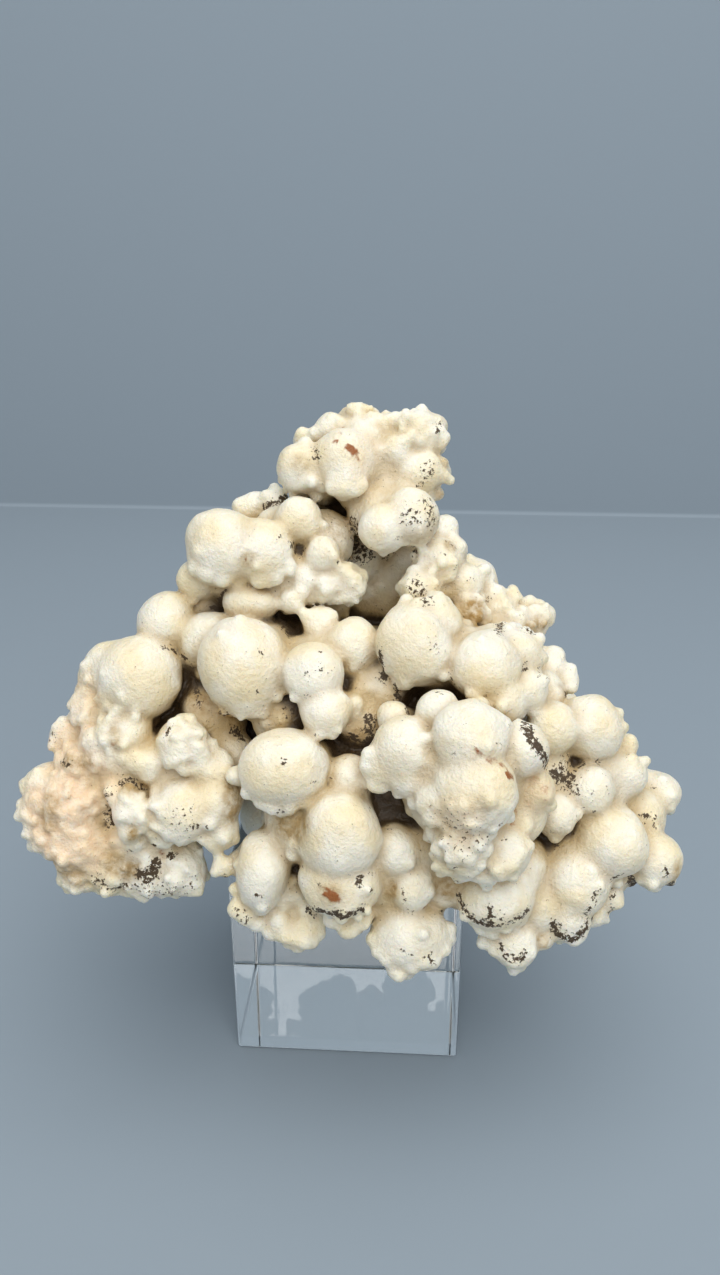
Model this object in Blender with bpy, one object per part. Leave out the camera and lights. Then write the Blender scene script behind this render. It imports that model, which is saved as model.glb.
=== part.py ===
"""An aragonite cluster standing on a clear display block.

The stone grew as one piece: rounded lobes on stalks that come out of common core masses,
all fused in one solid. It rests on the block by the lobes of its underside. The numbers
here are in millimetres and degrees, and the meshes are made in metres.
"""

import math
import random

import bmesh
import bpy
from mathutils import Matrix, Vector

METRE = 0.001

# The display block is a stock cube, and the stone keeps this gap to it
BLOCK_SIDE = 40.0
BLOCK_BEVEL = 0.4
GAP = 0.3

# The lobes are placed as someone in front of the stone sees them. The eye is a point in
# the part's frame. It looks down at the stone and a little to the left. PLANE is how far
# in front of the eye the plane stands on which across and up are measured.
EYE = (10.6, -156.9, 140.7)
LOOK_DOWN = 23.0
LOOK_TURN = 3.4
PLANE = 165.0

# The stone's lobes, as seen from the front: across, up, how far they stand out from the
# plane towards the eye, half width and, where it differs, half height
LOBES = {
    "crown": (
        (-10.0, 28.0, 6, 4.2),
        (-2.5, 29.2, 6, 5.5),
        (-2.0, 26.6, 8, 3.5),
        (-9.2, 32.7, 1, 2.2),
        (-0.3, 36.2, 0, 2.5),
        (3.0, 34.2, 2, 2.4),
        (1.7, 31.2, 1, 3.0),
        (4.7, 28.0, 3, 3.0),
        (4.2, 23.7, 4, 3.4),
        (9.7, 33.0, 3, 4.1),
        (7.0, 35.3, 2, 1.7),
        (10.2, 36.0, 1, 1.7),
        (12.8, 35.2, 1, 1.6),
        (6.2, 31.0, 5, 2.8),
        (10.3, 27.6, 5, 4.0, 3.4),
        (13.0, 28.0, 3, 1.8),
        (3.8, 18.2, 10, 3.7),
        (8.8, 20.0, 9, 4.3),
        (0.0, 30.0, 2, 6.0),
        (-5.0, 34.0, 2, 3.0),
        (5.0, 34.3, 2, 2.4),
        (6.0, 26.0, 0, 6.0),
        (-6.0, 27.0, 2, 4.5),
        (3.0, 21.0, 4, 5.0),
        (8.0, 24.0, 3, 4.5),
    ),
    "shoulder": (
        (-14.2, 23.0, 1, 2.5),
        (-17.2, 22.4, 0, 2.2),
        (-19.5, 21.6, 0, 1.8),
        (-10.3, 19.4, 7, 4.0),
        (-6.3, 13.6, 9, 2.7),
        (-22.7, 15.0, 9, 6.3),
        (-16.3, 14.2, 9, 5.4),
        (-24.7, 17.4, 5, 3.6),
        (-26.7, 9.6, 6, 3.3),
        (-18.0, 5.8, 8, 4.6, 2.9),
        (-11.3, 6.2, 9, 2.0),
        (-9.2, 9.6, 8, 3.0),
        (-2.8, 9.0, 7, 3.0),
        (-5.8, 8.7, 9, 1.5),
        (-12.0, 10.0, 4, 6.0),
        (-20.0, 10.0, 3, 6.0),
        (-6.0, 16.0, 3, 5.0),
        (-13.0, 17.0, 3, 5.0),
    ),
    "left": (
        (-32.0, 2.4, 6, 5.0),
        (-25.0, -0.4, 8, 4.7),
        (-36.7, -7.0, 9, 7.2),
        (-43.3, -7.0, 8, 3.7),
        (-42.0, -4.5, 8, 3.8),
        (-44.2, -12.0, 8, 3.7),
        (-39.2, -16.2, 11, 4.7),
        (-42.5, -18.0, 11, 3.5),
        (-48.3, -16.2, 6, 3.3),
        (-29.2, -18.0, 13, 4.7),
        (-35.0, -21.2, 13, 3.3),
        (-25.0, -22.0, 13, 3.7),
        (-29.2, -28.7, 14, 5.3),
        (-24.2, -27.0, 13, 4.6),
        (-23.3, -32.0, 13, 3.0),
        (-32.5, -31.2, 13, 3.3),
        (-40.3, -26.6, 14, 1.5),
        (-38.3, -27.0, 15, 1.7),
        (-39.2, -29.6, 15, 2.0),
        (-36.7, -29.4, 15, 2.3),
        (-38.3, -32.4, 15, 2.0),
        (-52.3, -28.7, 8, 3.7),
        (-51.5, -24.5, 8, 3.4),
        (-47.5, -27.0, 9, 5.8),
        (-46.7, -33.0, 9, 5.0),
        (-50.8, -32.0, 8, 4.2),
        (-45.8, -21.2, 9, 4.2),
        (-30.0, -38.7, 9, 4.0),
        (-40.0, -37.5, 8, 4.5),
        (-46.7, -38.4, 7, 3.5),
        (-38.0, -20.0, 8, 7.0),
        (-43.0, -26.0, 7, 6.0),
        (-36.0, -33.0, 8, 6.0),
        (-25.0, -12.0, 5, 6.0),
        (-26.0, 4.0, 3, 3.0),
        (-23.0, -20.0, 6, 5.0),
        (-35.0, -38.5, 8, 4.5),
        (-31.0, -24.0, 9, 6.0),
    ),
    "middle": (
        (-19.2, -5.0, 12, 7.7, 8.3),
        (-7.8, -6.2, 15, 5.3),
        (-5.8, -12.0, 16, 4.2),
        (-1.3, -11.2, 14, 1.4),
        (-6.7, 2.0, 9, 3.0),
        (-1.3, -1.2, 11, 4.2, 4.8),
        (0.3, -8.0, 11, 2.5),
        (0.0, -14.0, 10, 5.0),
        (4.0, -8.0, 9, 5.0),
        (-12.0, -12.0, 8, 6.0),
        (-5.0, -4.0, 8, 6.0),
    ),
    "lower": (
        (-12.8, -21.7, 18, 7.3, 6.3),
        (-20.8, -23.0, 16, 1.3),
        (-16.3, -38.7, 14, 4.7, 7.0),
        (-19.2, -44.6, 13, 2.2),
        (-22.0, -38.0, 13, 1.4),
        (-12.8, -48.0, 12, 2.4),
        (-9.2, -48.7, 12, 3.0),
        (-6.7, -47.4, 12, 1.4),
        (-3.3, -33.0, 19, 7.0),
        (-3.3, -40.4, 17, 7.0, 5.8),
        (-2.2, -48.4, 15, 1.4),
        (0.0, -47.0, 15, 1.4),
        (-5.0, -47.0, 15, 1.2),
        (8.7, -41.2, 15, 3.7, 4.7),
        (8.3, -49.6, 13, 6.8, 6.0),
        (7.0, -54.0, 13, 2.5),
        (-1.7, -23.7, 15, 4.2),
        (5.8, -35.4, 16, 4.2),
        (-8.0, -30.0, 12, 8.0),
        (3.0, -38.0, 11, 7.0),
        (-13.0, -41.0, 10, 5.0),
        (10.0, -34.0, 12, 6.0),
        (14.0, -40.0, 12, 5.0),
    ),
    "boss": (
        (7.5, -18.7, 21, 5.8),
        (4.2, -21.2, 20, 4.0),
        (8.3, -23.0, 21, 4.0),
        (18.3, -17.0, 24, 6.7),
        (26.7, -18.7, 22, 4.7),
        (19.2, -25.4, 25, 7.3),
        (13.3, -27.0, 24, 4.2),
        (17.5, -33.0, 23, 5.0),
        (24.2, -35.4, 21, 4.6),
        (29.2, -25.4, 20, 3.0),
        (14.5, -37.6, 22, 1.5),
        (17.2, -38.4, 22, 1.5),
        (20.8, -38.7, 21, 2.0),
        (12.8, -12.4, 20, 3.7),
        (20.0, -11.7, 20, 2.0),
        (5.8, -13.4, 17, 2.7),
        (17.0, -23.0, 17, 11.0),
        (24.0, -29.0, 16, 7.0),
    ),
    "right_upper": (
        (9.2, -1.2, 14, 6.3, 7.0),
        (12.8, 2.6, 13, 4.2),
        (20.8, -5.4, 15, 5.8, 6.3),
        (25.8, -3.0, 12, 4.5),
        (27.5, -8.7, 14, 3.7),
        (18.3, -0.4, 12, 2.0),
        (23.3, -10.4, 16, 4.2),
        (32.2, -3.0, 5, 1.7),
        (34.2, -7.0, 6, 2.2),
        (31.7, -5.0, 6, 2.4),
        (31.3, -8.7, 8, 2.0),
        (22.0, -6.0, 9, 8.0),
        (14.0, -4.0, 9, 7.0),
        (30.0, -9.0, 8, 4.0),
    ),
    "arm": (
        (38.3, -15.0, 10, 5.5),
        (31.7, -15.0, 13, 4.2),
        (44.2, -18.0, 7, 1.9),
        (44.2, -23.0, 8, 3.7),
        (38.3, -25.4, 12, 4.2),
        (50.0, -26.0, 3, 3.4),
        (41.7, -33.7, 11, 6.3),
        (48.9, -36.9, 8, 5.0, 4.8),
        (32.5, -29.6, 14, 3.4),
        (35.8, -40.4, 11, 5.8),
        (34.2, -46.2, 11, 4.1),
        (41.3, -43.0, 9, 2.5),
        (39.0, -45.5, 9, 2.4),
        (38.0, -24.0, 5, 8.0),
        (40.0, -36.0, 5, 7.0),
        (33.0, -38.0, 7, 7.0),
        (45.0, -30.0, 4, 6.0),
        (30.0, -22.0, 10, 5.0),
    ),
    "fringe": (
        (22.5, -43.0, 15, 6.5, 5.7),
        (25.3, -50.4, 13, 4.1),
        (21.7, -49.6, 13, 2.3),
        (30.0, -49.6, 12, 2.0),
        (24.0, -38.0, 11, 7.0),
        (29.0, -44.0, 11, 5.0),
    ),
    "ridge": (
        (13.3, 12.6, 5, 4.0),
        (14.0, 18.0, 3, 2.5),
        (15.4, 14.6, 4, 2.3),
        (10.0, 8.0, 7, 2.7),
        (17.3, 8.9, 4, 3.5),
        (19.8, 9.4, 2, 2.2),
        (18.3, 4.6, 6, 2.7),
        (23.3, 4.2, 3, 3.1),
        (25.8, 2.0, 4, 2.5),
        (28.3, 2.0, 2, 2.5),
        (30.4, 3.9, 1, 1.5),
        (21.5, 5.5, 1, 3.5),
        (14.0, 8.0, 2, 4.0),
    ),
}

# Where the stalks of each group of lobes come out of the cores: x, y, z
ROOTS = {
    "crown": (2, 7, 98),
    "shoulder": (-13, 3, 85),
    "left": (-32, -8, 61),
    "middle": (-9, -2, 73),
    "lower": (0, -12, 58),
    "boss": (14, -14, 62),
    "right_upper": (15, -4, 72),
    "arm": (33, -10, 58),
    "fringe": (22, -14, 56),
    "ridge": (16, 3, 82),
}
STALK_SHARE = 0.9

# A stalk has lumps along it, spaced and shifted by shares of its radius
LUMP_SPACING = 1.5
LUMP_SHIFT = 0.35
LUMP_SMALLEST = 0.8
LUMP_LARGEST = 1.15

# The core masses: x, y, z, half width, half depth, half height
CORES = {
    "base": (0, -1, 53, 18, 15, 10),
    "trunk": (0, -1, 61, 20, 17, 15),
    "front": (4, -20, 56, 16, 10, 10),
    "left": (-30, -7, 59, 15, 12, 11),
    "right": (31, -9, 55, 14, 11, 9),
    "shoulder": (-13, 3, 83, 10, 9, 9),
    "ridge": (16, 3, 76, 8, 8, 8),
    "nape": (3, 9, 80, 11, 6, 10),
    "crown": (2, 8, 96, 7, 6, 11),
}

# The lobes that the stone rests on: x, y, radius
FEET = (
    (-13, -12, 5.5),
    (13, -11, 5.0),
    (-10, 12, 6.0),
    (12, 11, 5.5),
    (1, -1, 6.0),
    (1, 15, 4.5),
    (-16, 2, 5.0),
    (16, 0, 4.8),
    (-2, -16, 4.6),
)

# Lobes that a spiral spreads over each core, on the sides away from the eye
BACK_SPACING = 6.0
BACK_SMALLEST = 3.0
BACK_LARGEST = 5.6
BACK_FACING = -0.1
BACK_JITTER = 0.2
CORE_DEPTH = 0.9
SEED = 11

# How the overlapping shapes are made one solid
BALL_DETAIL = 3
STALK_SIDES = 16
VOXEL = 0.9
SMOOTH_STEPS = 2
STONE_TRIANGLES = 9600


def clear_scene():
    for thing in list(bpy.data.objects):
        bpy.data.objects.remove(thing)


def view_axes():
    """The viewer's right, up and forward directions in the part's frame."""
    swing = Matrix.Rotation(math.radians(LOOK_TURN), 3, "Z")
    down = math.radians(LOOK_DOWN)
    forward = swing @ Vector((0, math.cos(down), -math.sin(down)))
    right = swing @ Vector((1, 0, 0))
    return right, right.cross(forward), forward


RIGHT, UP, FORWARD = view_axes()


def seen(across, up, toward):
    """The point that shows at across and up and stands out by toward, and how much
    smaller a thing is there than it looks on the plane."""
    share = (PLANE - toward) / PLANE
    point = Vector(EYE) + (FORWARD * PLANE + RIGHT * across + UP * up) * share
    return point, share


def meets_block(point, radius):
    """Whether a ball here would come closer to the block than the gap."""
    half = BLOCK_SIDE / 2
    beside = max(abs(point.x) - half, 0)
    before = max(abs(point.y) - half, 0)
    above = max(point.z - BLOCK_SIDE, 0)
    return math.hypot(beside, before, above) < radius + GAP


def template(name, make, **options):
    """A mesh that is copied for each ball or stalk."""
    work = bmesh.new()
    make(work, **options)
    data = bpy.data.meshes.new(name)
    work.to_mesh(data)
    work.free()
    return data


def add_copy(mesh, shape, place):
    copy = shape.copy()
    copy.transform(place)
    mesh.from_mesh(copy)
    bpy.data.meshes.remove(copy)


class Growth:
    """Collects the overlapping balls and stalks that the stone is fused from."""

    def __init__(self):
        self.mesh = bmesh.new()
        self.dice = random.Random(SEED)
        self.ball_shape = template(
            "ball", bmesh.ops.create_icosphere, subdivisions=BALL_DETAIL, radius=1
        )
        self.stalk_shape = template(
            "stalk", bmesh.ops.create_cone, cap_ends=True, segments=STALK_SIDES,
            radius1=1, radius2=1, depth=1,
        )

    def ball(self, centre, radii, axes=Matrix.Identity(3)):
        turn_and_size = (axes @ Matrix.Diagonal(radii)).to_4x4()
        add_copy(self.mesh, self.ball_shape, Matrix.Translation(centre) @ turn_and_size)

    def round_ball(self, centre, radius):
        self.ball(centre, (radius, radius, radius))

    def stalk(self, tip, root, radius):
        """A stem from a lobe's middle to where it comes out of the core."""
        run = root - tip
        turn = run.to_track_quat("Z", "Y").to_matrix()
        turn_and_size = (turn @ Matrix.Diagonal((radius, radius, run.length))).to_4x4()
        middle = Matrix.Translation((tip + root) / 2)
        add_copy(self.mesh, self.stalk_shape, middle @ turn_and_size)
        steps = int(run.length / (radius * LUMP_SPACING))
        for step in range(1, steps):
            shift = Vector(self.dice.uniform(-LUMP_SHIFT, LUMP_SHIFT) for _ in range(3))
            point = tip.lerp(root, step / steps) + shift * radius
            size = radius * self.dice.uniform(LUMP_SMALLEST, LUMP_LARGEST)
            if not meets_block(point, size):
                self.round_ball(point, size)


def grow_front(stone):
    view_to_part = Matrix((RIGHT, UP, FORWARD)).transposed()
    for group, rows in LOBES.items():
        root = Vector(ROOTS[group])
        for across, up, toward, wide, *rest in rows:
            high = rest[0] if rest else wide
            deep = (wide + high) / 2
            point, share = seen(across, up, toward)
            stone.ball(point, Vector((wide, high, deep)) * share, view_to_part)
            stone.stalk(point, root, min(wide, high) * share * STALK_SHARE)


def grow_cores(stone):
    for x, y, z, *radii in CORES.values():
        stone.ball(Vector((x, y, z)), radii)


def grow_feet(stone):
    root = Vector(ROOTS["lower"])
    for x, y, radius in FEET:
        point = Vector((x, y, BLOCK_SIDE + GAP + radius))
        stone.round_ball(point, radius)
        stone.stalk(point, root, radius * STALK_SHARE)


def inside_core(point):
    for x, y, z, *radii in CORES.values():
        away = [(p - c) / (r * CORE_DEPTH) for p, c, r in zip(point, (x, y, z), radii)]
        if sum(a * a for a in away) < 1:
            return True
    return False


def grow_back(stone):
    dice = stone.dice
    golden_angle = math.pi * (3 - math.sqrt(5))
    for x, y, z, *radii in CORES.values():
        mean = sum(radii) / 3
        count = round(4 * math.pi * mean**2 / BACK_SPACING**2)
        for step in range(count):
            height = 1 - (2 * step + 1) / count
            ring = math.sqrt(1 - height**2)
            angle = golden_angle * step + dice.uniform(-BACK_JITTER, BACK_JITTER)
            way = Vector((ring * math.cos(angle), ring * math.sin(angle), height))
            radius = dice.uniform(BACK_SMALLEST, BACK_LARGEST)
            point = Vector((x, y, z)) + Vector(r * w for r, w in zip(radii, way))
            hidden = inside_core(point) or meets_block(point, radius)
            if way.dot(FORWARD) > BACK_FACING and not hidden:
                stone.round_ball(point, radius)


def shells(mesh):
    """The sets of vertices that hang together."""
    left = set(mesh.verts)
    found = []
    while left:
        shell = set()
        front = [left.pop()]
        while front:
            vert = front.pop()
            shell.add(vert)
            for link in vert.link_edges:
                other = link.other_vert(vert)
                if other in left:
                    left.remove(other)
                    front.append(other)
        found.append(shell)
    return found


def place_object(name, data, material):
    thing = bpy.data.objects.new(name, data)
    thing.data.materials.append(material)
    bpy.context.scene.collection.objects.link(thing)
    return thing


def surface(name, colour, roughness, **more):
    """A material with the part's colour, roughness and other shader values."""
    material = bpy.data.materials.new(name)
    material.use_nodes = True
    shader = material.node_tree.nodes["Principled BSDF"]
    shader.inputs["Base Color"].default_value = (*colour, 1)
    shader.inputs["Roughness"].default_value = roughness
    for socket, value in more.items():
        shader.inputs[socket.replace("_", " ")].default_value = value
    return material


def fused(name, mesh, material):
    """One closed solid from shapes that overlap, thinned to the stone's triangles."""
    data = bpy.data.meshes.new(name)
    bmesh.ops.scale(mesh, vec=(METRE, METRE, METRE), verts=mesh.verts)
    mesh.to_mesh(data)
    mesh.free()
    thing = place_object(name, data, material)
    join = thing.modifiers.new("Join", "REMESH")
    join.mode = "VOXEL"
    join.voxel_size = VOXEL * METRE
    soften = thing.modifiers.new("Soften", "SMOOTH")
    soften.iterations = SMOOTH_STEPS
    graph = bpy.context.evaluated_depsgraph_get()
    solid = bmesh.new()
    solid.from_mesh(thing.evaluated_get(graph).to_mesh())
    inner = sorted(shells(solid), key=len)[:-1]
    bmesh.ops.delete(solid, geom=[v for shell in inner for v in shell], context="VERTS")
    bmesh.ops.triangulate(solid, faces=solid.faces)
    thing.modifiers.clear()
    solid.to_mesh(data)
    thin = thing.modifiers.new("Thin", "DECIMATE")
    thin.ratio = STONE_TRIANGLES / len(solid.faces)
    solid.free()
    return thing


def aragonite_cluster():
    stone = Growth()
    grow_front(stone)
    grow_cores(stone)
    grow_feet(stone)
    grow_back(stone)
    cream = surface("aragonite", (0.80, 0.76, 0.64), 0.42, Subsurface_Weight=0.3)
    return fused("aragonite_cluster", stone.mesh, cream)


def display_block():
    cube = template("display_block", bmesh.ops.create_cube, size=BLOCK_SIDE * METRE)
    cube.transform(Matrix.Translation((0, 0, BLOCK_SIDE / 2 * METRE)))
    acrylic = surface("acrylic", (0.95, 0.97, 0.97), 0.03, Transmission_Weight=1, IOR=1.49)
    block = place_object("display_block", cube, acrylic)
    bevel = block.modifiers.new("Polished edges", "BEVEL")
    bevel.width = BLOCK_BEVEL * METRE
    bevel.segments = 1
    return block


clear_scene()
aragonite_cluster()
display_block()
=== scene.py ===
"""The looks of an aragonite cluster standing on a clear display block.

The stone is grown again here, finer than its solid. The same lobes, stalks and cores go
into a grid of distances, small knobs grow on their skin, the surface is drawn from the grid,
and dirt, rust and ochre lie where the sight lines from the front meet it. Shapes are in
millimetres and degrees until their meshes are made in metres.
"""

import math
import random

import bmesh
import bpy
import numpy as np
from mathutils import Matrix, Vector


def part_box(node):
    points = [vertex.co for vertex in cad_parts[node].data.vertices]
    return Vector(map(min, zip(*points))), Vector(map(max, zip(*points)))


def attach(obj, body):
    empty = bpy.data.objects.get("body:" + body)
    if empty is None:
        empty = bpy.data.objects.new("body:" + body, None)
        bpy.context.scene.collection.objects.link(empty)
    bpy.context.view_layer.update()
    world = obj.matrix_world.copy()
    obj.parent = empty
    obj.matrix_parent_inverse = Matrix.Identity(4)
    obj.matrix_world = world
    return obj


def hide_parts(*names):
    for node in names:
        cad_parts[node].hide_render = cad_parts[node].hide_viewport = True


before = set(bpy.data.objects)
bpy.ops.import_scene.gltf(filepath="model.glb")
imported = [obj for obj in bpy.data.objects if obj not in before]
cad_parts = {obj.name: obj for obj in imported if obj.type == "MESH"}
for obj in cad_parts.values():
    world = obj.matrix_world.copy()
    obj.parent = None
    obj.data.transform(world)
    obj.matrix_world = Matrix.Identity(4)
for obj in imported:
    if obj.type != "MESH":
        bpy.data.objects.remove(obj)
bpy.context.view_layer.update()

METRE = 0.001

# The display block
BLOCK_SIDE = 40.0
BLOCK_BEVEL = 0.5
BLOCK_BEVEL_STEPS = 3
GAP = 0.3

# The eye in front of the stone, and the plane on which across and up are measured
EYE = (10.6, -156.9, 140.7)
LOOK_DOWN = 23.0
LOOK_TURN = 3.4
PLANE = 165.0

# The camera's focal length in pixels of the photo, the photo's height and Blender's sensor
FOCAL_PIXELS = 991.0
PHOTO_HEIGHT = 1275.0
SENSOR = 36.0

# The stone's lobes, as seen from the front: across, up, how far they stand out from the
# plane towards the eye, half width and, where it differs, half height
LOBES = {
    "crown": (
        (-10.0, 28.0, 6, 4.2), (-2.5, 29.2, 6, 5.5), (-2.0, 26.6, 8, 3.5), (-9.2, 32.7, 1, 2.2),
        (-0.3, 36.2, 0, 2.5), (3.0, 34.2, 2, 2.4), (1.7, 31.2, 1, 3.0), (4.7, 28.0, 3, 3.0),
        (4.2, 23.7, 4, 3.4), (9.7, 33.0, 3, 4.1), (7.0, 35.3, 2, 1.7), (10.2, 36.0, 1, 1.7),
        (12.8, 35.2, 1, 1.6), (6.2, 31.0, 5, 2.8), (10.3, 27.6, 5, 4.0, 3.4), (13.0, 28.0, 3, 1.8),
        (3.8, 18.2, 10, 3.7), (8.8, 20.0, 9, 4.3), (0.0, 30.0, 2, 6.0), (-5.0, 34.0, 2, 3.0),
        (5.0, 34.3, 2, 2.4), (6.0, 26.0, 0, 6.0), (-6.0, 27.0, 2, 4.5), (3.0, 21.0, 4, 5.0),
        (8.0, 24.0, 3, 4.5),
    ),
    "shoulder": (
        (-14.2, 23.0, 1, 2.5), (-17.2, 22.4, 0, 2.2), (-19.5, 21.6, 0, 1.8), (-10.3, 19.4, 7, 4.0),
        (-6.3, 13.6, 9, 2.7), (-22.7, 15.0, 9, 6.3), (-16.3, 14.2, 9, 5.4), (-24.7, 17.4, 5, 3.6),
        (-26.7, 9.6, 6, 3.3), (-18.0, 5.8, 8, 4.6, 2.9), (-11.3, 6.2, 9, 2.0), (-9.2, 9.6, 8, 3.0),
        (-2.8, 9.0, 7, 3.0), (-5.8, 8.7, 9, 1.5), (-12.0, 10.0, 4, 6.0), (-20.0, 10.0, 3, 6.0),
        (-6.0, 16.0, 3, 5.0), (-13.0, 17.0, 3, 5.0),
    ),
    "left": (
        (-32.0, 2.4, 6, 5.0), (-25.0, -0.4, 8, 4.7), (-36.7, -7.0, 9, 7.2), (-43.3, -7.0, 8, 3.7),
        (-42.0, -4.5, 8, 3.8), (-44.2, -12.0, 8, 3.7), (-39.2, -16.2, 11, 4.7),
        (-42.5, -18.0, 11, 3.5), (-48.3, -16.2, 6, 3.3), (-29.2, -18.0, 13, 4.7),
        (-35.0, -21.2, 13, 3.3), (-25.0, -22.0, 13, 3.7), (-29.2, -28.7, 14, 5.3),
        (-24.2, -27.0, 13, 4.6), (-23.3, -32.0, 13, 3.0), (-32.5, -31.2, 13, 3.3),
        (-40.3, -26.6, 14, 1.5), (-38.3, -27.0, 15, 1.7), (-39.2, -29.6, 15, 2.0),
        (-36.7, -29.4, 15, 2.3), (-38.3, -32.4, 15, 2.0), (-52.3, -28.7, 8, 3.7),
        (-51.5, -24.5, 8, 3.4), (-47.5, -27.0, 9, 5.8), (-46.7, -33.0, 9, 5.0),
        (-50.8, -32.0, 8, 4.2), (-45.8, -21.2, 9, 4.2), (-30.0, -38.7, 9, 4.0),
        (-40.0, -37.5, 8, 4.5), (-46.7, -38.4, 7, 3.5), (-38.0, -20.0, 8, 7.0),
        (-43.0, -26.0, 7, 6.0), (-36.0, -33.0, 8, 6.0), (-25.0, -12.0, 5, 6.0),
        (-26.0, 4.0, 3, 3.0), (-23.0, -20.0, 6, 5.0), (-35.0, -38.5, 8, 4.5),
        (-31.0, -24.0, 9, 6.0),
    ),
    "middle": (
        (-19.2, -5.0, 12, 7.7, 8.3), (-7.8, -6.2, 15, 5.3), (-5.8, -12.0, 16, 4.2),
        (-1.3, -11.2, 14, 1.4), (-6.7, 2.0, 9, 3.0), (-1.3, -1.2, 11, 4.2, 4.8),
        (0.3, -8.0, 11, 2.5), (0.0, -14.0, 10, 5.0), (4.0, -8.0, 9, 5.0), (-12.0, -12.0, 8, 6.0),
        (-5.0, -4.0, 8, 6.0),
    ),
    "lower": (
        (-12.8, -21.7, 18, 7.3, 6.3), (-20.8, -23.0, 16, 1.3), (-16.3, -38.7, 14, 4.7, 7.0),
        (-19.2, -44.6, 13, 2.2), (-22.0, -38.0, 13, 1.4), (-12.8, -48.0, 12, 2.4),
        (-9.2, -48.7, 12, 3.0), (-6.7, -47.4, 12, 1.4), (-3.3, -33.0, 19, 7.0),
        (-3.3, -40.4, 17, 7.0, 5.8), (-2.2, -48.4, 15, 1.4), (0.0, -47.0, 15, 1.4),
        (-5.0, -47.0, 15, 1.2), (8.7, -41.2, 15, 3.7, 4.7), (8.3, -49.6, 13, 6.8, 6.0),
        (7.0, -54.0, 13, 2.5), (-1.7, -23.7, 15, 4.2), (5.8, -35.4, 16, 4.2),
        (-8.0, -30.0, 12, 8.0), (3.0, -38.0, 11, 7.0), (-13.0, -41.0, 10, 5.0),
        (10.0, -34.0, 12, 6.0), (14.0, -40.0, 12, 5.0),
    ),
    "boss": (
        (7.5, -18.7, 21, 5.8), (4.2, -21.2, 20, 4.0), (8.3, -23.0, 21, 4.0), (18.3, -17.0, 24, 6.7),
        (26.7, -18.7, 22, 4.7), (19.2, -25.4, 25, 7.3), (13.3, -27.0, 24, 4.2),
        (17.5, -33.0, 23, 5.0), (24.2, -35.4, 21, 4.6), (29.2, -25.4, 20, 3.0),
        (14.5, -37.6, 22, 1.5), (17.2, -38.4, 22, 1.5), (20.8, -38.7, 21, 2.0),
        (12.8, -12.4, 20, 3.7), (20.0, -11.7, 20, 2.0), (5.8, -13.4, 17, 2.7),
        (17.0, -23.0, 17, 11.0), (24.0, -29.0, 16, 7.0),
    ),
    "right_upper": (
        (9.2, -1.2, 14, 6.3, 7.0), (12.8, 2.6, 13, 4.2), (20.8, -5.4, 15, 5.8, 6.3),
        (25.8, -3.0, 12, 4.5), (27.5, -8.7, 14, 3.7), (18.3, -0.4, 12, 2.0), (23.3, -10.4, 16, 4.2),
        (32.2, -3.0, 5, 1.7), (34.2, -7.0, 6, 2.2), (31.7, -5.0, 6, 2.4), (31.3, -8.7, 8, 2.0),
        (22.0, -6.0, 9, 8.0), (14.0, -4.0, 9, 7.0), (30.0, -9.0, 8, 4.0),
    ),
    "arm": (
        (38.3, -15.0, 10, 5.5), (31.7, -15.0, 13, 4.2), (44.2, -18.0, 7, 1.9),
        (44.2, -23.0, 8, 3.7), (38.3, -25.4, 12, 4.2), (50.0, -26.0, 3, 3.4),
        (41.7, -33.7, 11, 6.3), (48.9, -36.9, 8, 5.0, 4.8), (32.5, -29.6, 14, 3.4),
        (35.8, -40.4, 11, 5.8), (34.2, -46.2, 11, 4.1), (41.3, -43.0, 9, 2.5),
        (39.0, -45.5, 9, 2.4), (38.0, -24.0, 5, 8.0), (40.0, -36.0, 5, 7.0), (33.0, -38.0, 7, 7.0),
        (45.0, -30.0, 4, 6.0), (30.0, -22.0, 10, 5.0),
    ),
    "fringe": (
        (22.5, -43.0, 15, 6.5, 5.7), (25.3, -50.4, 13, 4.1), (21.7, -49.6, 13, 2.3),
        (30.0, -49.6, 12, 2.0), (24.0, -38.0, 11, 7.0), (29.0, -44.0, 11, 5.0),
    ),
    "ridge": (
        (13.3, 12.6, 5, 4.0), (14.0, 18.0, 3, 2.5), (15.4, 14.6, 4, 2.3), (10.0, 8.0, 7, 2.7),
        (17.3, 8.9, 4, 3.5), (19.8, 9.4, 2, 2.2), (18.3, 4.6, 6, 2.7), (23.3, 4.2, 3, 3.1),
        (25.8, 2.0, 4, 2.5), (28.3, 2.0, 2, 2.5), (30.4, 3.9, 1, 1.5), (21.5, 5.5, 1, 3.5),
        (14.0, 8.0, 2, 4.0),
    ),
}

# Where the stalks of each group of lobes come out of the cores: x, y, z
ROOTS = {
    "crown": (2, 7, 98),
    "shoulder": (-13, 3, 85),
    "left": (-32, -8, 61),
    "middle": (-9, -2, 73),
    "lower": (0, -12, 58),
    "boss": (14, -14, 62),
    "right_upper": (15, -4, 72),
    "arm": (33, -10, 58),
    "fringe": (22, -14, 56),
    "ridge": (16, 3, 82),
}
STALK_SHARE = 0.9

# A stalk has lumps along it, spaced and shifted by shares of its radius
LUMP_SPACING = 1.5
LUMP_SHIFT = 0.35
LUMP_SMALLEST = 0.8
LUMP_LARGEST = 1.15

# The core masses: x, y, z, half width, half depth, half height
CORES = {
    "base": (0, -1, 53, 18, 15, 10),
    "trunk": (0, -1, 61, 20, 17, 15),
    "front": (4, -20, 56, 16, 10, 10),
    "left": (-30, -7, 59, 15, 12, 11),
    "right": (31, -9, 55, 14, 11, 9),
    "shoulder": (-13, 3, 83, 10, 9, 9),
    "ridge": (16, 3, 76, 8, 8, 8),
    "nape": (3, 9, 80, 11, 6, 10),
    "crown": (2, 8, 96, 7, 6, 11),
}

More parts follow.
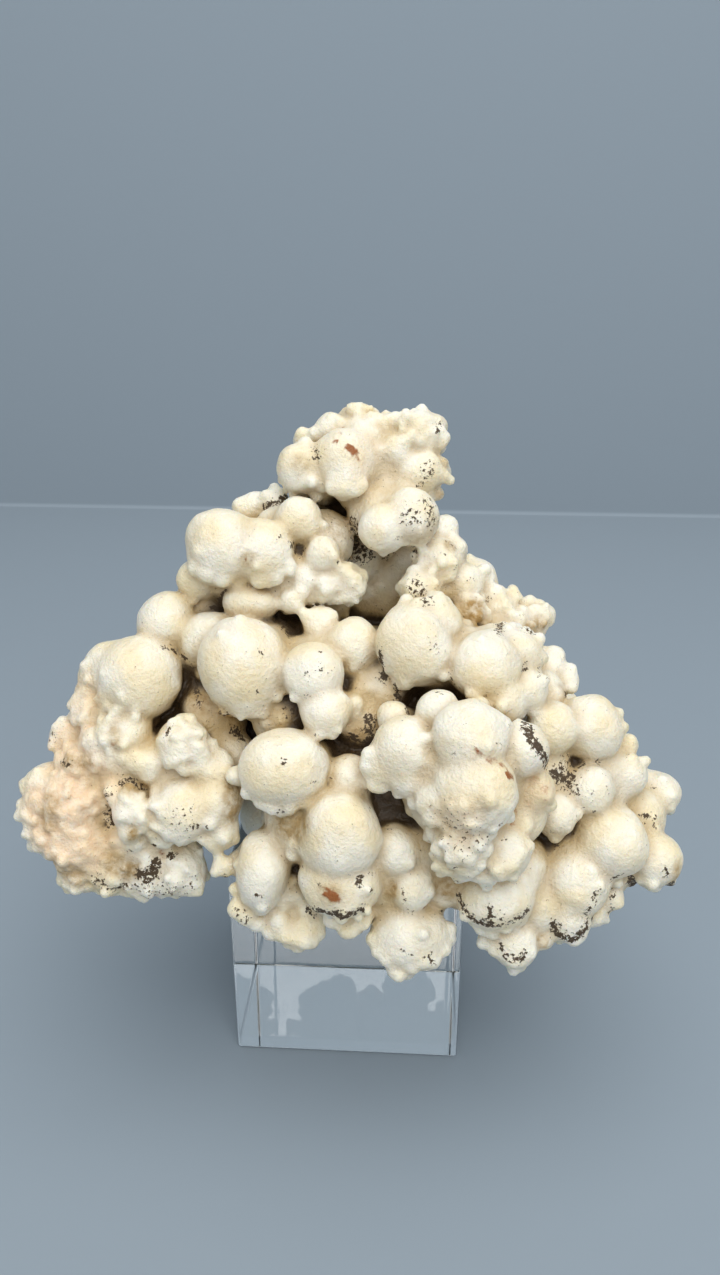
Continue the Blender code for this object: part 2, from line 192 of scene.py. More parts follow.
# The lobes that the stone rests on: x, y, radius
FEET = (
    (-13, -12, 5.5),
    (13, -11, 5.0),
    (-10, 12, 6.0),
    (12, 11, 5.5),
    (1, -1, 6.0),
    (1, 15, 4.5),
    (-16, 2, 5.0),
    (16, 0, 4.8),
    (-2, -16, 4.6),
)

# Lobes that a spiral spreads over each core, on the sides away from the eye
BACK_SPACING = 6.0
BACK_SMALLEST = 3.0
BACK_LARGEST = 5.6
BACK_FACING = -0.1
BACK_JITTER = 0.2
CORE_DEPTH = 0.9
SEED = 11

# Small knobs seen from the front: across, up, radius
KNOBS = {
    "crown": (
        (-0.9, 38.0, 0.9), (0.4, 38.2, 0.8), (1.8, 37.6, 0.8), (2.8, 36.6, 0.9), (-4.4, 36.4, 1.0),
        (4.0, 35.4, 0.9), (6.2, 35.6, 0.8), (7.0, 36.2, 0.8), (8.2, 36.4, 0.8), (9.3, 36.8, 0.8),
        (10.3, 37.1, 0.8), (11.6, 36.5, 0.8), (12.9, 36.2, 0.8), (13.6, 35.3, 0.7),
        (13.5, 33.6, 0.8), (13.4, 31.9, 0.8), (14.0, 29.2, 0.8), (14.0, 27.0, 1.0),
        (13.2, 24.0, 0.9), (-8.0, 26.4, 1.4), (-6.2, 25.5, 1.3), (-4.5, 25.0, 1.3),
        (-2.9, 24.8, 1.3), (-1.2, 24.6, 1.2), (0.2, 25.4, 1.2), (-3.6, 22.0, 0.9),
        (-3.6, 21.2, 0.5), (3.4, 31.2, 1.0), (-9.6, 34.0, 1.2), (-7.6, 34.0, 1.2),
    ),
    "shoulder": (
        (-27.4, 11.6, 1.4), (-25.4, 10.6, 1.4), (-23.0, 9.8, 1.4), (-20.6, 9.2, 1.4),
        (-16.8, 9.7, 1.5), (-14.2, 10.2, 1.5), (-12.0, 12.0, 1.3), (-6.0, 9.3, 1.2),
        (-4.5, 10.5, 1.3), (-2.8, 10.7, 1.3), (-1.2, 9.8, 1.2), (-0.3, 8.3, 1.2),
        (-1.5, 7.0, 1.2), (-3.5, 6.7, 1.2), (-5.5, 7.5, 1.2), (0.8, 8.6, 0.8),
        (1.6, 7.8, 0.8), (0.4, 6.8, 0.7), (-0.8, 6.0, 0.7), (1.4, 6.6, 0.7),
        (-9.8, 7.6, 1.2), (-8.4, 6.6, 1.0), (-13.6, 5.6, 0.9), (-10.6, 5.4, 0.8),
    ),
    "left": (
        (-24.9, -14.6, 0.8), (-24.4, -16.0, 0.8), (-24.2, -17.5, 0.8), (-24.8, -19.0, 0.8),
        (-25.5, -20.3, 0.8), (-26.1, -14.0, 0.8), (-27.5, -13.4, 0.9), (-29.0, -13.6, 0.9),
        (-30.4, -14.4, 0.9), (-27.0, -16.0, 1.0), (-28.6, -15.4, 1.0), (-26.4, -18.0, 1.0),
        (-28.0, -17.6, 1.0), (-29.8, -16.8, 1.0), (-27.4, -19.8, 1.0), (-29.2, -19.4, 1.0),
        (-30.8, -18.8, 1.0), (-31.6, -20.6, 1.0), (-29.8, -21.4, 1.0), (-27.8, -21.6, 0.9),
        (-41.6, -26.0, 0.9), (-40.2, -25.6, 0.9), (-39.0, -26.2, 0.9), (-41.0, -27.6, 0.9),
        (-39.5, -28.0, 1.0), (-38.5, -29.5, 1.0), (-40.0, -30.0, 0.9), (-41.3, -32.0, 0.8),
        (-40.8, -33.5, 0.9), (-39.5, -33.8, 1.0), (-38.0, -34.3, 0.9), (-36.5, -34.0, 0.9),
        (-35.8, -32.0, 1.0), (-36.5, -30.5, 1.0), (-37.5, -28.0, 0.9), (-34.6, -28.0, 1.0),
        (-35.0, -29.6, 0.9), (-34.8, -31.2, 0.9), (-33.6, -34.0, 1.0), (-31.8, -34.6, 1.0),
        (-24.8, -34.4, 1.1), (-26.6, -33.8, 1.0), (-22.6, -33.6, 1.0), (-29.6, -37.8, 1.0),
        (-28.0, -39.2, 1.1), (-30.6, -40.0, 1.1), (-33.0, -41.6, 1.0), (-27.0, -41.0, 1.0),
        (-35.4, -42.4, 0.9), (-38.0, -42.0, 0.9), (-40.6, -40.2, 0.8), (-41.8, -42.0, 0.8),
        (-44.0, -41.6, 0.9), (-37.8, -19.6, 0.9), (-39.4, -20.2, 0.9), (-41.2, -19.8, 0.9),
        (-43.4, -20.4, 0.9), (-40.0, -17.6, 0.9), (-46.0, -13.6, 1.0), (-47.2, -10.4, 0.9),
        (-46.6, -8.6, 0.9), (-45.8, -4.8, 1.0), (-50.6, -15.0, 0.9), (-51.0, -17.2, 0.9),
        (-55.0, -27.4, 1.1), (-55.6, -29.2, 1.0), (-53.0, -32.8, 1.1), (-52.0, -35.0, 1.1),
        (-49.6, -36.6, 1.0), (-47.2, -37.0, 1.0), (-44.4, -36.6, 1.0), (-42.6, -35.4, 1.0),
    ),
    "middle": (
        (-0.9, -12.6, 1.0), (-0.6, -11.0, 1.0), (-2.4, -15.0, 1.0), (-4.6, -16.0, 1.0),
        (-1.6, -5.6, 1.0), (0.2, -6.2, 0.9), (1.6, -8.4, 1.0), (-9.0, 3.6, 1.1),
        (-4.6, 3.6, 1.0), (-20.0, 2.6, 1.2), (-13.2, -13.6, 1.0), (-15.6, -14.2, 1.0),
    ),
    "lower": (
        (-20.9, -23.2, 1.0), (-21.6, -23.4, 0.6), (-18.9, -26.0, 1.0), (-16.6, -27.4, 1.1),
        (-14.2, -28.0, 1.0), (-11.6, -28.0, 1.2), (-9.4, -27.2, 1.3), (-22.8, -38.0, 1.2),
        (-20.9, -42.0, 1.0), (-20.6, -45.4, 1.5), (-19.0, -46.6, 1.5), (-17.2, -47.6, 1.5),
        (-15.0, -49.2, 1.3), (-13.6, -47.4, 1.5), (-12.4, -49.9, 1.2), (-10.7, -50.4, 1.1),
        (-9.2, -50.8, 1.2), (-8.0, -50.8, 1.1), (-6.8, -49.4, 1.1), (-14.6, -45.6, 1.5),
        (-4.4, -47.6, 0.9), (-2.4, -49.3, 0.9), (-1.0, -48.4, 0.8), (0.8, -47.8, 0.8),
        (1.4, -46.4, 0.9), (2.6, -45.2, 1.0), (-10.8, -34.3, 1.2), (-11.2, -36.2, 1.1),
        (-11.0, -40.2, 1.1), (-10.4, -43.2, 1.2), (-9.2, -45.2, 1.0), (2.2, -50.4, 1.2),
        (3.0, -52.4, 1.1), (4.4, -53.7, 1.1), (5.6, -55.0, 1.2), (7.2, -55.7, 1.2),
        (8.8, -54.9, 1.2), (10.6, -54.1, 1.1), (12.4, -53.6, 1.1), (14.0, -52.0, 1.2),
        (14.8, -50.3, 1.2), (15.0, -48.6, 1.1), (8.2, -37.6, 1.0), (11.6, -42.4, 1.0),
    ),
    "boss": (
        (13.3, -37.8, 1.0), (14.7, -38.5, 1.0), (16.7, -38.9, 1.0), (18.3, -38.6, 1.0),
        (19.7, -39.7, 1.1), (21.5, -39.8, 1.2), (23.5, -39.2, 1.3), (25.2, -37.9, 1.3),
        (26.7, -36.0, 1.2), (18.1, -36.5, 1.3), (16.2, -36.4, 1.2), (12.2, -30.2, 1.2),
        (12.2, -33.0, 1.2), (13.2, -35.0, 1.2), (15.0, -34.2, 1.2), (19.6, -34.4, 1.3),
        (1.6, -19.6, 1.3), (1.0, -21.4, 1.1), (2.6, -24.4, 1.4), (4.6, -25.6, 1.3),
        (6.8, -27.2, 1.4), (9.2, -27.6, 1.2), (30.8, -26.2, 1.0), (30.4, -24.0, 1.0),
        (28.2, -34.8, 0.9), (27.6, -31.4, 1.2),
    ),
    "right": (
        (32.2, -2.2, 0.9), (33.4, -2.8, 0.8), (30.6, -3.4, 0.9), (35.2, -5.2, 1.0),
        (35.0, -8.4, 0.9), (33.0, -9.4, 0.9), (30.6, -7.2, 1.0), (44.0, -15.0, 0.9),
        (43.2, -12.6, 0.9), (45.2, -17.0, 0.8), (45.4, -20.2, 0.9), (47.6, -20.6, 0.9),
        (52.0, -26.4, 0.9), (51.8, -28.4, 0.8), (50.4, -23.8, 0.9), (48.8, -30.2, 0.9),
        (49.2, -31.8, 0.8), (40.0, -45.6, 0.7), (41.2, -47.2, 0.6), (43.2, -44.4, 0.8),
        (42.6, -46.4, 0.7), (39.8, -47.0, 0.7), (20.4, -51.0, 1.0), (22.4, -52.2, 1.0),
        (25.6, -54.0, 1.0), (28.4, -52.6, 1.0), (30.8, -50.8, 0.9), (17.6, -46.4, 1.0),
    ),
    "ridge": (
        (13.6, 17.6, 0.9), (15.4, 16.6, 0.9), (16.9, 15.2, 0.9), (18.2, 13.2, 0.9),
        (20.4, 11.2, 0.9), (21.6, 9.2, 0.8), (8.4, 8.8, 0.9), (8.6, 7.0, 0.9), (9.6, 5.8, 0.9),
        (11.4, 6.0, 0.9), (23.0, 7.8, 0.9), (25.6, 7.4, 0.9), (27.2, 5.4, 0.9),
        (29.2, 4.6, 0.8), (31.2, 4.0, 0.7), (31.0, 3.0, 0.6), (26.2, 2.6, 1.0),
        (27.6, 1.0, 0.9), (24.6, 1.4, 0.9), (22.4, 3.0, 0.9), (17.6, 6.8, 1.1),
    ),
}

# Where the surface is covered in small grains, as seen from the front: across, up, radius
GRAINY = (
    (-47.0, -28.0, 9.0),
    (-44.0, -14.0, 6.5),
    (-41.0, -38.5, 9.0),
    (-28.0, -17.5, 4.5),
    (-37.5, -30.0, 4.5),
    (-30.0, -38.0, 6.0),
    (11.0, 9.0, 4.5),
    (25.0, 4.5, 7.0),
    (17.0, -33.0, 6.0),
    (-3.0, 9.0, 4.0),
    (2.0, 37.0, 3.5),
    (10.0, 36.0, 4.0),
)

# Stains seen from the front, each a stroke: half width, strength, then the points it
# passes, across and up
STAINS = {
    "dirt": (
        (1.1, 0.7, (-7.4, 31.2), (-7.2, 29.8)), (0.7, 0.5, (-5.8, 30.8)), (0.4, 0.6, (-4.6, 29.6)),
        (0.6, 0.9, (13.2, 35.5), (12.8, 34.5)), (0.5, 0.6, (13.4, 33.0)),
        (1.4, 0.7, (11.4, 28.6), (11.2, 27.2)), (0.8, 0.8, (9.8, 25.6)), (2.2, 0.6, (8.6, 20.0)),
        (1.6, 0.7, (11.3, 22.5), (12.0, 19.5)), (0.4, 1.0, (6.3, 16.5)),
        (1.4, 0.8, (-1.0, 19.2), (-0.4, 17.0)), (2.0, 0.9, (-1.0, 14.5), (0.8, 14.0)),
        (1.6, 0.7, (5.0, 14.0), (8.6, 14.2)),
        (0.8, 1.2, (-17.0, 20.2), (-15.5, 21.6), (-13.5, 22.6), (-12.2, 23.4)),
        (0.7, 1.0, (-13.4, 16.8)), (0.9, 0.9, (-11.6, 15.6), (-10.0, 14.2)),
        (0.4, 1.3, (-23.0, 5.5), (-22.9, 7.0), (-22.3, 7.8)),
        (0.4, 1.2, (-25.0, 5.0), (-22.8, 4.7)), (0.3, 1.0, (-17.0, 8.5)), (0.4, 1.0, (-3.6, 12.7)),
        (0.5, 0.9, (-27.5, -7.0), (-26.8, -11.0)),
        (0.9, 0.9, (-22.8, -12.5), (-20.6, -15.8), (-19.8, -16.8)),
        (1.3, 0.8, (-14.0, 3.3), (-12.2, 1.4)), (0.5, 1.0, (-12.2, 0.3), (-10.6, 0.9)),
        (0.8, 0.6, (-16.6, -1.6), (-16.2, -2.8)), (1.0, 0.6, (-17.8, -8.6)),
        (0.5, 0.6, (-17.2, -5.0)), (1.2, 0.8, (-6.2, -5.0)), (1.2, 0.5, (-9.3, -6.0)),
        (0.7, 0.9, (-8.8, -9.7)), (0.3, 0.9, (-7.6, -3.6)), (0.3, 0.9, (-6.7, -2.4)),
        (1.0, 0.5, (-11.5, -9.0), (-11.8, -12.5)), (1.0, 1.1, (1.5, -13.5), (1.6, -17.5)),
        (1.1, 0.9, (-2.6, -18.0), (-1.0, -16.6)), (0.4, 0.9, (-7.5, -16.3)),
        (0.6, 0.5, (-15.8, -19.6)), (0.35, 1.0, (-12.9, -20.5), (-12.7, -21.1)),
        (0.3, 0.8, (-9.6, -24.0)), (0.25, 0.9, (-8.5, -24.2), (-7.1, -24.2)),
        (0.6, 0.9, (-13.2, -28.8)), (0.5, 1.2, (-22.6, -39.8)),
        (0.4, 1.2, (-17.1, -42.8), (-16.5, -43.2)), (1.0, 0.7, (-20.2, -45.2), (-19.0, -47.0)),
        (0.4, 0.9, (-20.8, -41.8)), (0.3, 0.9, (-13.5, -47.8)), (0.3, 0.9, (-15.0, -50.0)),
        (0.4, 1.1, (-10.8, -38.3)), (0.4, 1.3, (-9.5, -38.2)), (0.6, 1.4, (0.1, -40.0)),
        (0.5, 1.3, (0.0, -41.2)), (0.4, 1.1, (1.8, -42.0)), (0.3, 0.9, (-3.6, -36.7)),
        (0.8, 0.4, (1.8, -39.5)),
        (0.8, 1.2, (-8.4, -45.4), (-7.0, -45.2), (-5.0, -45.9), (-2.5, -46.3), (-0.6, -45.8)),
        (0.7, 1.2, (-0.6, -45.8), (0.5, -44.7)), (0.5, 1.0, (-7.4, -46.6)),
        (0.4, 0.8, (-6.8, -41.0)), (0.4, 0.9, (1.6, -28.5)), (0.4, 1.0, (5.5, -41.0)),
        (0.4, 1.1, (7.3, -42.0), (7.2, -44.0)), (0.8, 0.7, (8.5, -45.5)), (0.5, 0.7, (13.5, -45.8)),
        (0.7, 0.9, (16.0, -40.6)), (0.25, 1.4, (7.2, -51.8), (8.3, -52.8), (10.2, -52.9)),
        (0.5, 0.9, (10.8, -53.2), (12.3, -54.0)), (0.4, 0.8, (8.6, -54.2)),
        (0.4, 0.8, (11.6, -52.5)), (3.4, 0.42, (15.5, -31.0), (18.0, -33.0)),
        (0.5, 1.2, (23.4, -31.2)), (0.5, 0.6, (23.5, -33.5)), (0.4, 1.0, (16.0, -38.2)),
        (0.3, 0.9, (12.3, -36.4)), (0.4, 0.9, (18.5, -39.8)), (0.3, 0.9, (22.8, -40.3)),
        (0.9, 0.45, (7.0, -18.2)), (0.9, 0.45, (15.7, -19.3)), (0.4, 0.7, (23.3, -17.7)),
        (0.4, 0.7, (3.7, -24.0)), (1.1, 0.5, (13.0, 1.0)), (0.9, 0.6, (12.0, -1.0), (12.6, -2.0)),
        (0.4, 0.9, (26.5, -2.7)), (0.4, 1.0, (26.8, -4.1)), (0.4, 1.0, (27.8, -4.8), (27.0, -5.5)),
        (0.4, 0.9, (15.0, -6.2)), (0.9, 0.5, (15.5, -7.5)), (0.5, 0.8, (13.3, -9.2)),
        (0.3, 1.0, (20.3, -11.0)), (0.4, 0.9, (6.2, -14.0), (7.7, -13.4)),
        (0.6, 1.1, (5.8, -8.0), (6.5, -10.0), (8.0, -12.5)), (0.8, 1.3, (3.4, -2.6), (4.2, -6.5)),
        (0.9, 1.3, (27.7, -14.5), (28.0, -16.5), (29.5, -18.5), (31.0, -21.0), (33.0, -22.2)),
        (1.1, 1.1, (32.2, -22.6), (35.4, -23.4)), (1.4, 0.7, (34.0, -24.6), (36.0, -25.4)),
        (1.1, 0.6, (34.0, -20.4), (36.5, -21.4)), (0.6, 0.8, (38.5, -25.7)),
        (0.6, 0.9, (31.3, -6.5)), (0.8, 1.0, (34.2, -9.4)), (0.4, 0.8, (30.0, -7.0), (29.8, -4.7)),
        (0.5, 0.9, (37.2, -28.0)), (0.6, 0.9, (38.7, -29.0)), (0.5, 0.9, (36.3, -30.0)),
        (0.4, 0.6, (40.5, -25.0), (41.5, -26.0)), (0.6, 0.8, (39.6, -20.5)),
        (0.5, 0.9, (46.5, -22.2)), (0.5, 1.1, (48.8, -25.0)),
        (0.7, 0.9, (47.0, -30.0), (48.8, -29.7)), (0.5, 0.9, (49.0, -31.5)),
        (0.4, 0.8, (44.8, -19.5)), (0.35, 1.0, (32.0, -32.2), (34.8, -32.8)),
        (1.0, 0.6, (32.5, -34.5)), (0.5, 1.2, (50.6, -38.3), (51.2, -39.5)),
        (0.9, 1.3, (44.8, -40.0), (46.0, -41.6), (48.0, -42.7), (50.0, -42.2), (51.6, -41.0)),
        (0.5, 0.9, (43.8, -39.3), (41.8, -40.3)),
        (0.7, 1.0, (39.8, -42.0), (38.8, -44.0), (37.8, -45.5), (37.5, -47.5)),
        (1.0, 1.2, (32.3, -47.6), (33.0, -49.3), (35.5, -50.3), (37.3, -48.6)),
        (0.7, 0.8, (42.0, -42.5), (41.5, -45.5), (42.5, -46.0)), (0.7, 1.3, (38.6, -46.8)),
        (0.7, 1.2, (16.5, -43.0), (17.5, -45.0), (19.0, -47.0), (21.0, -47.8)),
        (0.7, 0.9, (21.0, -47.8), (24.0, -47.8), (26.0, -47.0)),
        (0.7, 1.4, (21.4, -45.3), (21.5, -47.5)), (0.9, 1.1, (26.0, -46.6), (28.0, -45.4)),
        (1.0, 0.6, (23.5, -46.5)),
        (0.8, 1.0, (23.5, -51.5), (24.5, -53.2), (26.5, -53.8), (27.2, -52.6)),
        (0.3, 1.0, (14.3, 16.0), (15.8, 15.0)), (0.5, 0.8, (13.9, 13.8)), (0.35, 1.1, (15.7, 11.2)),
        (0.5, 0.5, (16.3, 12.5)), (0.3, 1.0, (17.8, 9.9), (19.5, 9.5)), (0.4, 0.8, (15.4, 8.0)),
        (0.5, 0.8, (12.6, 8.0)), (1.8, 0.85, (9.4, 8.2)), (1.3, 0.9, (11.2, 6.3)),
        (0.9, 1.0, (23.5, 2.2), (23.0, 1.0)), (0.5, 0.7, (21.9, 7.0), (21.0, 6.0)),
        (0.5, 0.7, (25.3, 4.5)), (0.6, 0.8, (27.0, 3.5)), (1.3, 0.8, (28.2, 1.4)),
        (0.5, 0.6, (-37.5, -5.0)), (0.3, 1.1, (-32.3, -5.4)),
        (0.4, 1.1, (-31.7, -13.5), (-31.5, -15.0), (-32.3, -16.3)), (0.4, 0.8, (-43.0, -9.3)),
        (0.4, 0.7, (-36.2, 2.5)),
        (0.35, 1.2, (-33.4, -1.8), (-31.0, -2.2), (-29.0, -3.5), (-28.0, -5.0)),
        (0.8, 0.6, (-50.8, -15.3), (-51.2, -17.2)), (0.7, 0.9, (-49.6, -20.8), (-48.2, -21.2)),
        (1.3, 0.7, (-42.4, -26.0), (-41.6, -30.5)), (1.3, 0.9, (-39.6, -24.4), (-37.0, -24.6)),
        (0.6, 1.1, (-38.2, -35.5)), (0.8, 1.1, (-27.6, -31.4)), (2.8, 0.42, (-29.5, -30.5)),
        (0.4, 0.9, (-25.5, -31.6)), (0.6, 1.1, (-34.4, -34.6)), (0.8, 1.1, (-31.4, -36.4)),
        (1.0, 1.4, (-36.6, -39.2), (-34.8, -39.6), (-34.0, -37.6)),
        (1.4, 0.8, (-43.6, -40.2), (-40.0, -41.4)), (2.4, 0.6, (-36.0, -41.6), (-32.0, -42.0)),
        (2.0, 0.5, (-28.5, -41.0)),
    ),
    "rust": (
        (0.5, 0.7, (-3.0, 35.3), (-3.4, 33.6)), (0.8, 1.0, (-4.1, 32.7)),
        (0.9, 1.2, (-1.9, 31.5), (-0.8, 30.6)), (0.8, 0.5, (-0.4, 29.0)), (1.2, 0.35, (0.4, 26.8)),
        (0.55, 1.3, (-18.6, 13.1)), (0.9, 1.2, (-5.5, -42.4), (-4.2, -43.4)),
        (0.7, 1.1, (10.8, -44.9)),
        (0.7, 0.9, (19.3, -18.9), (21.5, -20.2), (22.4, -20.9), (23.8, -21.4)),
        (0.7, 1.5, (24.6, -22.8), (25.2, -23.4)), (0.5, 0.7, (15.8, -28.8)),
        (0.5, 0.6, (18.9, -33.6), (20.8, -33.2)), (0.6, 0.8, (25.8, -28.8), (25.3, -31.6)),
        (0.6, 0.7, (28.2, -35.0)), (0.8, 0.6, (30.6, -25.0), (31.2, -26.6)),
        (1.2, 0.7, (-33.2, -36.0)), (0.4, 0.8, (-28.8, -37.2)), (0.9, 0.6, (-40.8, -17.8)),
        (1.5, 0.5, (-51.5, -27.5)), (1.0, 0.5, (-52.0, -30.5)), (1.0, 0.5, (-46.5, -20.8)),
        (0.8, 0.7, (10.8, 29.4)),
    ),
    "ochre": (
        (1.6, 0.5, (-9.8, 29.0)), (1.0, 0.6, (14.2, 29.2)), (1.0, 0.8, (13.3, 23.8)),
        (1.8, 0.5, (12.2, 18.2), (9.5, 16.5)), (2.6, 0.6, (-4.0, 21.0), (-3.0, 18.5)),
        (1.3, 0.6, (-18.6, 13.1)),
        (1.7, 0.9, (-28.0, -8.0), (-26.6, -11.0), (-23.5, -12.5), (-20.0, -15.0), (-17.4, -16.0)),
        (1.8, 0.8, (-14.0, 3.4)), (2.4, 0.9, (-12.5, -31.0), (-9.6, -31.6)),
        (2.0, 0.9, (-21.0, -26.0), (-21.0, -29.0)), (1.8, 0.7, (-5.0, -42.6)),
        (1.4, 1.0, (5.2, -42.0)), (2.2, 1.0, (14.4, -41.6)), (2.0, 0.35, (20.0, -28.0)),
        (2.4, 0.4, (12.0, -8.6), (15.6, -8.4)), (2.6, 0.4, (30.4, -33.2), (33.0, -33.4)),
        (1.0, 0.7, (52.8, -38.6), (52.4, -40.4)), (1.2, 0.8, (30.2, -50.6)),
        (1.2, 0.8, (15.0, 15.4)), (2.0, 1.1, (18.8, 4.6), (18.8, 2.6)),
        (1.4, 0.9, (28.4, 1.6), (30.4, 2.2)), (1.0, 0.6, (-41.0, -15.0), (-40.8, -17.8)),
        (1.6, 0.9, (-38.6, -24.4), (-35.4, -25.6)), (0.9, 1.0, (-38.0, -32.3), (-37.8, -33.6)),
        (2.0, 0.7, (-50.5, -38.0), (-47.0, -39.6)), (2.0, 0.9, (-41.0, -37.5), (-38.0, -38.5)),
        (1.8, 0.6, (-51.8, -27.6), (-52.2, -31.0)), (1.4, 0.7, (-48.8, -20.6), (-45.6, -20.8)),
        (1.4, 0.6, (-2.6, -17.6), (0.8, -15.4)), (1.2, 0.6, (33.8, -8.8)),
    ),
    "pink": (
        (4.0, 0.5, (-46.0, -10.0)), (4.0, 0.9, (-47.0, -17.0), (-50.0, -19.5)),
        (6.5, 1.0, (-47.0, -26.0), (-47.0, -33.0)), (4.0, 1.0, (-53.0, -28.0), (-51.0, -34.0)),
        (3.6, 0.45, (16.0, -31.0)), (2.5, 0.5, (29.5, -23.0), (30.0, -27.0)),
        (2.5, 0.3, (0.5, 28.0), (1.5, 32.0)), (3.0, 0.7, (-0.5, -17.0)),
    ),
}


def view_axes():
    """The viewer's right, up and forward directions in the part's frame."""
    swing = Matrix.Rotation(math.radians(LOOK_TURN), 3, "Z")
    down = math.radians(LOOK_DOWN)
    forward = swing @ Vector((0, math.cos(down), -math.sin(down)))
    right = swing @ Vector((1, 0, 0))
    return right, right.cross(forward), forward


RIGHT, UP, FORWARD = view_axes()

# The grid that the stone is grown in: its step, the room around the solid's box, how far a
# shape counts beyond its skin, and the distance that stands for far away
STEP = 0.42
ROOM = 2.0
MARGIN = 1.8
FAR = 3.0
TINY = 1e-9

# How softly shapes run into each other
BLEND = 0.9
KNOB_BLEND = 0.6

# Waves of the stone's skin: length and height
WAVES = ((8.0, 1.0), (4.0, 0.7), (1.9, 0.42), (1.1, 0.28))

# Where along a line of sight the stone is looked for, in shares of the plane's distance
SIGHT_FIRST = 0.75
SIGHT_LAST = 1.25
SIGHT_STEP = 0.0015

# Knobs scattered on the skin. Each point of a coarse skin gets one by chance.
KNOB_SINK = 0.35
KNOB_SHIFT = 0.5
COARSE = 3
PLAIN_CHANCE = 0.01
UNDER_CHANCE = 0.25
GRAIN_CHANCE = 0.75
KNOB_SMALLEST = 0.55
KNOB_LARGEST = 1.15
GRAIN_SMALLEST = 0.45
GRAIN_LARGEST = 0.8

# The finished skin
SOFTENING = 1
STONE_TRIANGLES = 194000

# How far the share of stone around a point is looked at, in grid steps, and the shares
# from which a place counts as a hollow or as deep inside the cluster. These shares carry
# painted shade: hollows and deep places turn honey, partly for shade and partly for
# staining, the deepest places turn near black, and deep places get more dirt specks.
HOLLOW_REACH = 3
DEEP_REACH = 9
HOLLOW_SHARES = (0.42, 0.66)
DEEP_SHARES = (0.46, 0.8)

# A stroke fades out at this many half widths
STROKE_END = 1.5

# The stone's colours
WHITE = (0.84, 0.805, 0.69)
CREAM = (0.80, 0.70, 0.48)
# Honey, partly painted shade and partly staining, for the hollows and deep places
HONEY_SHADE_AND_STAIN = (0.50, 0.36, 0.17)
OCHRE = (0.36, 0.23, 0.08)
# Painted shade, near black, for the deepest places between the lobes
CAVE_SHADE = (0.05, 0.028, 0.010)
PINK = (0.84, 0.62, 0.40)
RUST = (0.30, 0.10, 0.02)
SOIL = (0.07, 0.045, 0.022)

# The stone's patterns: how fine each noise is, in turns to the metre
CLOUD_SCALE = 140.0
FINE_SCALE = 900.0
SPECK_SCALE = 1800.0

# Where a noise or a share starts and ends to count, then the least and most that it gives
CREAM_CLOUDS = (0.35, 0.7)
# The honey clouds in deep places are partly painted shade and partly staining
HONEY_CLOUDS = (0.3, 0.6, 0.5, 1.0)
PINK_GRAINS = (0.25, 0.75, 0.45, 1.0)
OCHRE_GRAINS = (0.3, 0.65, 0.4, 1.0)
# The painted shade of the deepest places starts and ends at these depth shares
CAVE_SHADE_DEPTHS = (0.8, 1.0)
RUST_GRAINS = (0.3, 0.65)
SOIL_SPECKS = (0.67, 0.77)
SKIN_ROUGHNESS = (0.3, 0.7, 0.34, 0.48)
SCUFF_ROUGHNESS = (0.55, 0.75, 0.015, 0.09)

# How strongly the shares act
# How strongly hollows turn honey, partly painted shade and partly staining
HOLLOW_SHADE_AND_STAIN_STRENGTH = 0.5
RUST_STRENGTH = 0.55
RUST_LEVEL = 0.5
DIRT_STRENGTH = 0.24
DEEP_DIRT = 0.25
GRAIN_ROUGHNESS = 0.2
SOIL_ROUGHNESS = 0.3
FINE_HEIGHT = 0.6
SPECK_HEIGHT = 0.4
BUMP_STRENGTH = 0.8
BUMP_DEPTH = 0.0006

# How light spreads inside the stone
GLOW = 0.4
GLOW_COLOURS = (1.0, 0.78, 0.48)
GLOW_DEPTH = 0.003

# The clear block's looks
ACRYLIC_COLOUR = (0.96, 0.975, 0.97)
ACRYLIC_IOR = 1.49
SCUFF_SCALE = 260.0

# The backdrop, in metres: a floor that bends up into a wall. It lies just under the block,
# so that the block's lower face shows as it does when air is under it.
FLOOR_WIDTH = 4.0
FLOOR_FRONT = -1.2
FLOOR_DROP = 0.0003
WALL_AT = 0.34
WALL_BEND = 0.002
WALL_HEIGHT = 2.0
BEND_STEPS = 12
FLOOR_COLOUR = (0.26, 0.31, 0.355)

# The lamps, in metres: place, point that they face, width, watts and colour
LAMPS = {
    "top light": ((0.10, -0.15, 0.85), (0, 0, 0.07), 0.9, 4.5, (1.0, 0.985, 0.96)),
    "front light": ((0.2, -0.9, 0.9), (0, 0.34, 0.35), 1.0, 7.0, (1.0, 0.99, 0.97)),
}
SKY_COLOUR = (0.93, 0.96, 1.0, 1)
SKY_STRENGTH = 0.6
NEAREST_SEEN = 0.01


def seen(across, up, toward):
    """The point that shows at across and up and stands out by toward, and how much
    smaller a thing is there than it looks on the plane."""
    share = (PLANE - toward) / PLANE
    point = Vector(EYE) + (FORWARD * PLANE + RIGHT * across + UP * up) * share
    return point, share


def meets_block(point, radius):
    """Whether a ball here would come closer to the block than the gap."""
    half = BLOCK_SIDE / 2
    beside = max(abs(point.x) - half, 0)
    before = max(abs(point.y) - half, 0)
    above = max(point.z - BLOCK_SIDE, 0)
    return math.hypot(beside, before, above) < radius + GAP


def spline_weights(places, count):
    """The shares that a row of random heights has in the smooth wave at some places."""
    weights = np.zeros((len(places), count), np.float32)
    first = np.floor(places).astype(int)
    t = places - first
    parts = ((1 - t) ** 3, 3 * t**3 - 6 * t**2 + 4, -3 * t**3 + 3 * t**2 + 3 * t + 1, t**3)
    for shift, part in enumerate(parts):
        weights[np.arange(len(places)), first + shift] = part / 6
    return weights


